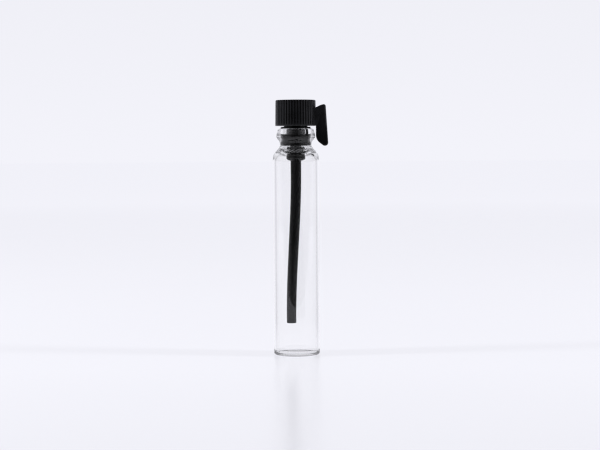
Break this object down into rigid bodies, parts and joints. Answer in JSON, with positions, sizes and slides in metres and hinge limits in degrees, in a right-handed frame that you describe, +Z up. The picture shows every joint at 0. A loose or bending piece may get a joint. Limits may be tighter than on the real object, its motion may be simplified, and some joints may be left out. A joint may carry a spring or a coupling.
{
  "type": "glass sample vial",
  "caption": "Small clear glass tube vial with a beaded neck and a black push-in stopper: ribbed grip, side thumb tab and a thin applicator rod that hangs inside.",
  "frame": {"origin": "centre of the foot, on the surface that the vial stands on", "axes": "+Z up along the axis of the glass tube, +X towards the thumb tab of the stopper"},
  "size_m": [0.0097, 0.008, 0.0444],
  "materials": {
    "clear_glass": "clear and fire polished",
    "black_polyethylene": "satin, as moulded"
  },
  "bodies": {
    "vial": {"glass_vial": "clear_glass"},
    "stopper": {"stopper": "black_polyethylene"}
  },
  "joints": [
    {"name": "stopper_pull", "type": "slide", "parent": "vial", "child": "stopper", "axis": [0, 0, 1], "range_m": [0, 0.038]}
  ]
}
